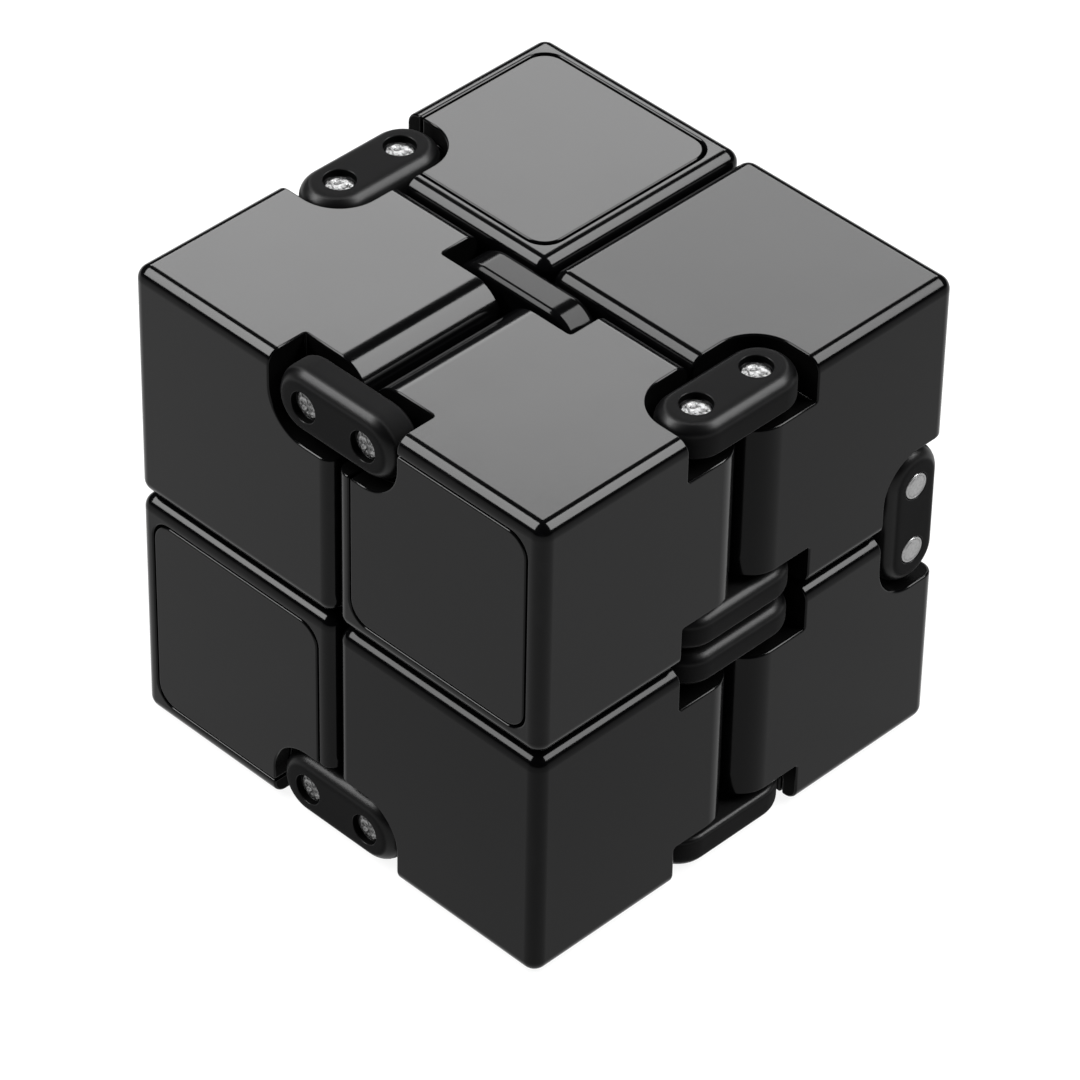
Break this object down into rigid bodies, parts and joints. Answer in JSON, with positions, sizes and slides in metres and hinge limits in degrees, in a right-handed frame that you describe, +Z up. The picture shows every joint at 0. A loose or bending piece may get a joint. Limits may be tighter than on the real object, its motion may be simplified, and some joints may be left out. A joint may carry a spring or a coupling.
{
  "type": "infinity cube",
  "caption": "Folding fidget cube: hollow black cubes joined edge to edge in a closed loop by two-pin hinges, so the block unfolds and turns inside out without end.",
  "frame": {"origin": "centre of the underside of the folded block", "axes": "+Z up from the resting face; -Y is the front, the side that carries the two hinge ends one above the other; +X is to the right seen from the front"},
  "size_m": [0.04, 0.04, 0.04],
  "materials": {
    "shell_plastic": "satin, fine moulded grain",
    "cap_plastic": "satin, fine moulded grain",
    "link_plastic": "satin",
    "pin_steel": "bare, cut ends"
  },
  "bodies": {
    "upper_front_right_cube": {"upper_front_right_shell": "shell_plastic", "upper_front_right_cap": "cap_plastic"},
    "upper_front_left_cube": {"upper_front_left_shell": "shell_plastic", "upper_front_left_cap": "cap_plastic"},
    "upper_back_left_cube": {"upper_back_left_shell": "shell_plastic", "upper_back_left_cap": "cap_plastic"},
    "upper_back_right_cube": {"upper_back_right_shell": "shell_plastic", "upper_back_right_cap": "cap_plastic"},
    "lower_front_right_cube": {"lower_front_right_shell": "shell_plastic", "lower_front_right_cap": "cap_plastic"},
    "lower_front_left_cube": {"lower_front_left_shell": "shell_plastic", "lower_front_left_cap": "cap_plastic"},
    "lower_back_left_cube": {"lower_back_left_shell": "shell_plastic", "lower_back_left_cap": "cap_plastic"},
    "lower_back_right_cube": {"lower_back_right_shell": "shell_plastic", "lower_back_right_cap": "cap_plastic"},
    "upper_left_link": {"upper_left_link_outer": "link_plastic", "upper_left_link_inner": "link_plastic", "upper_left_pin_front": "pin_steel", "upper_left_pin_back": "pin_steel"},
    "upper_front_link": {"upper_front_link_outer": "link_plastic", "upper_front_link_inner": "link_plastic", "upper_front_pin_left": "pin_steel", "upper_front_pin_right": "pin_steel"},
    "upper_right_link": {"upper_right_link_outer": "link_plastic", "upper_right_link_inner": "link_plastic", "upper_right_pin_front": "pin_steel", "upper_right_pin_back": "pin_steel"},
    "back_right_link": {"back_right_link_outer": "link_plastic", "back_right_link_inner": "link_plastic", "back_right_pin_lower": "pin_steel", "back_right_pin_upper": "pin_steel"},
    "lower_right_link": {"lower_right_link_outer": "link_plastic", "lower_right_link_inner": "link_plastic", "lower_right_pin_front": "pin_steel", "lower_right_pin_back": "pin_steel"},
    "lower_front_link": {"lower_front_link_outer": "link_plastic", "lower_front_link_inner": "link_plastic", "lower_front_pin_left": "pin_steel", "lower_front_pin_right": "pin_steel"},
    "lower_left_link": {"lower_left_link_outer": "link_plastic", "lower_left_link_inner": "link_plastic", "lower_left_pin_front": "pin_steel", "lower_left_pin_back": "pin_steel"},
    "back_left_link": {"back_left_link_outer": "link_plastic", "back_left_link_inner": "link_plastic", "back_left_pin_lower": "pin_steel", "back_left_pin_upper": "pin_steel"}
  },
  "joints": [
    {"name": "lower_right_front_pivot", "type": "hinge", "parent": "lower_front_right_cube", "child": "lower_right_link", "pos_m": [0.0173, -0.0029, 0.01], "axis": [0, 0, -1], "range_deg": [0, 90]},
    {"name": "lower_right_back_pivot", "type": "hinge", "parent": "lower_right_link", "child": "lower_back_right_cube", "pos_m": [0.0173, 0.0029, 0.01], "axis": [0, 0, -1], "range_deg": [0, 90]},
    {"name": "back_right_lower_pivot", "type": "hinge", "parent": "lower_back_right_cube", "child": "back_right_link", "pos_m": [0.0101, 0.0173, 0.0171], "axis": [-1, 0, 0], "range_deg": [0, 90]},
    {"name": "back_right_upper_pivot", "type": "hinge", "parent": "back_right_link", "child": "upper_back_right_cube", "pos_m": [0.0101, 0.0173, 0.0229], "axis": [-1, 0, 0], "range_deg": [0, 90]},
    {"name": "upper_right_back_pivot", "type": "hinge", "parent": "upper_back_right_cube", "child": "upper_right_link", "pos_m": [0.0173, 0.0029, 0.03], "axis": [0, 0, -1], "range_deg": [-90, 0]},
    {"name": "upper_right_front_pivot", "type": "hinge", "parent": "upper_right_link", "child": "upper_front_right_cube", "pos_m": [0.0173, -0.0029, 0.03], "axis": [0, 0, -1], "range_deg": [-90, 0]},
    {"name": "upper_front_right_pivot", "type": "hinge", "parent": "upper_front_right_cube", "child": "upper_front_link", "pos_m": [0.0029, -0.0101, 0.0373], "axis": [0, -1, 0], "range_deg": [-90, 0]},
    {"name": "upper_front_left_pivot", "type": "hinge", "parent": "upper_front_link", "child": "upper_front_left_cube", "pos_m": [-0.0029, -0.0101, 0.0373], "axis": [0, -1, 0], "range_deg": [-90, 0]},
    {"name": "upper_left_front_pivot", "type": "hinge", "parent": "upper_front_left_cube", "child": "upper_left_link", "pos_m": [-0.0173, -0.0029, 0.03], "axis": [0, 0, 1], "range_deg": [0, 90]},
    {"name": "upper_left_back_pivot", "type": "hinge", "parent": "upper_left_link", "child": "upper_back_left_cube", "pos_m": [-0.0173, 0.0029, 0.03], "axis": [0, 0, 1], "range_deg": [0, 90]},
    {"name": "back_left_upper_pivot", "type": "hinge", "parent": "upper_back_left_cube", "child": "back_left_link", "pos_m": [-0.0101, 0.0173, 0.0229], "axis": [-1, 0, 0], "range_deg": [-90, 0]},
    {"name": "back_left_lower_pivot", "type": "hinge", "parent": "back_left_link", "child": "lower_back_left_cube", "pos_m": [-0.0101, 0.0173, 0.0171], "axis": [-1, 0, 0], "range_deg": [-90, 0]},
    {"name": "lower_left_back_pivot", "type": "hinge", "parent": "lower_back_left_cube", "child": "lower_left_link", "pos_m": [-0.0173, 0.0029, 0.01], "axis": [0, 0, 1], "range_deg": [-90, 0]},
    {"name": "lower_left_front_pivot", "type": "hinge", "parent": "lower_left_link", "child": "lower_front_left_cube", "pos_m": [-0.0173, -0.0029, 0.01], "axis": [0, 0, 1], "range_deg": [-90, 0]},
    {"name": "lower_front_left_pivot", "type": "hinge", "parent": "lower_front_left_cube", "child": "lower_front_link", "pos_m": [-0.0029, -0.0101, 0.0027], "axis": [0, -1, 0], "range_deg": [-90, 0]}
  ],
  "couplings": [
    {"joint": "lower_right_back_pivot", "follows": "lower_right_front_pivot", "ratio": 1},
    {"joint": "upper_right_back_pivot", "follows": "lower_right_front_pivot", "ratio": -1},
    {"joint": "upper_right_front_pivot", "follows": "lower_right_front_pivot", "ratio": -1},
    {"joint": "back_right_upper_pivot", "follows": "back_right_lower_pivot", "ratio": 1},
    {"joint": "back_left_upper_pivot", "follows": "back_right_lower_pivot", "ratio": -1},
    {"joint": "back_left_lower_pivot", "follows": "back_right_lower_pivot", "ratio": -1},
    {"joint": "upper_front_left_pivot", "follows": "upper_front_right_pivot", "ratio": 1},
    {"joint": "lower_front_left_pivot", "follows": "upper_front_right_pivot", "ratio": 1},
    {"joint": "upper_left_back_pivot", "follows": "upper_left_front_pivot", "ratio": 1},
    {"joint": "lower_left_back_pivot", "follows": "upper_left_front_pivot", "ratio": -1},
    {"joint": "lower_left_front_pivot", "follows": "upper_left_front_pivot", "ratio": -1}
  ]
}
